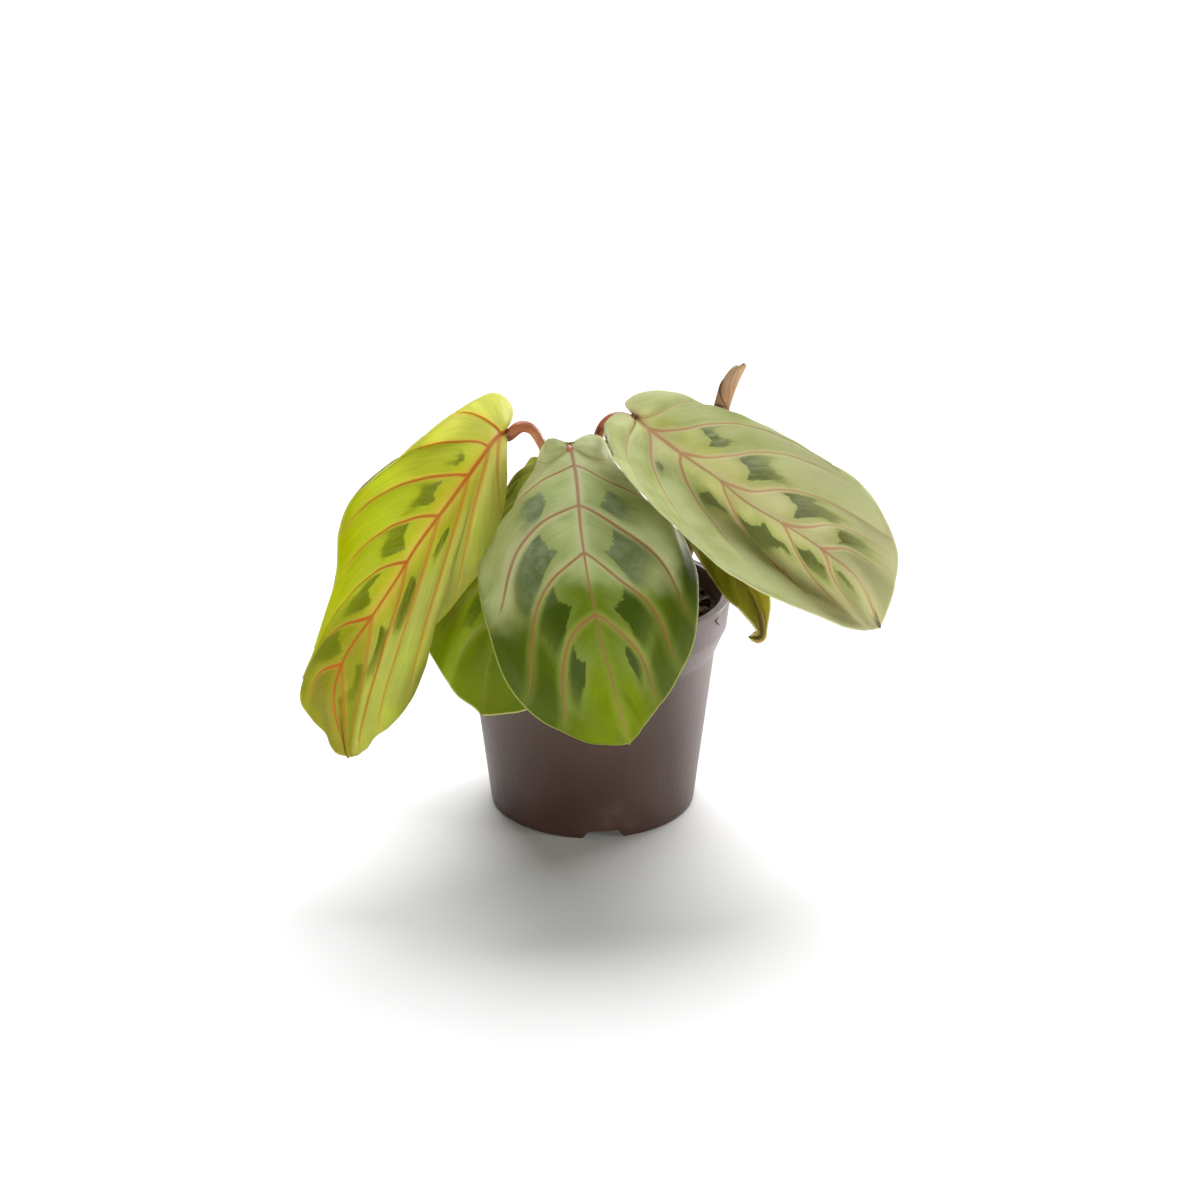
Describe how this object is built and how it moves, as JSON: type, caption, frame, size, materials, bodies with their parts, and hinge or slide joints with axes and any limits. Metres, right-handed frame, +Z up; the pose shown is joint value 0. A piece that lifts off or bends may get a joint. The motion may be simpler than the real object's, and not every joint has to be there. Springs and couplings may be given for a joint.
{
  "type": "potted prayer plant",
  "caption": "Small prayer plant with patterned leaves that droop over the rim of a round tapered plastic nursery pot filled with soil.",
  "frame": {"origin": "middle of the pot's underside, on the surface it stands on", "axes": "+Z up along the pot's axis, -Y the front, which the leaves droop towards, +X to the right seen from the front"},
  "size_m": [0.1177, 0.0892, 0.0992],
  "materials": {
    "pot_plastic": "semi-matt moulded polypropylene, taupe brown",
    "potting_soil": "moist dark peat and fibre with a few pale grains",
    "leaf_stalk": "smooth red-brown living stalk, slightly glossy",
    "leaf_yellow_green": "yellow-green living blade with red veins and olive blotches, soft waxy sheen",
    "leaf_green": "green living blade with red-brown veins and dark green blotches, soft waxy sheen",
    "leaf_pale": "pale cream-green living blade with pink veins and dark green blotches, soft waxy sheen",
    "leaf_shaded": "fresh green living blade with faint blotches, soft waxy sheen",
    "leaf_olive": "olive young blade, soft waxy sheen",
    "dry_leaf": "dry papery tan with fine lengthwise lines"
  },
  "bodies": {
    "root": {"pot": "pot_plastic", "soil": "potting_soil", "shoot_left": "leaf_stalk", "shoot_front": "leaf_stalk", "shoot_right": "leaf_stalk", "leaf_left": "leaf_yellow_green", "leaf_front": "leaf_green", "leaf_right": "leaf_pale", "leaf_low": "leaf_shaded", "leaf_young": "leaf_olive", "leaf_rolled_dry": "dry_leaf"}
  },
  "joints": []
}
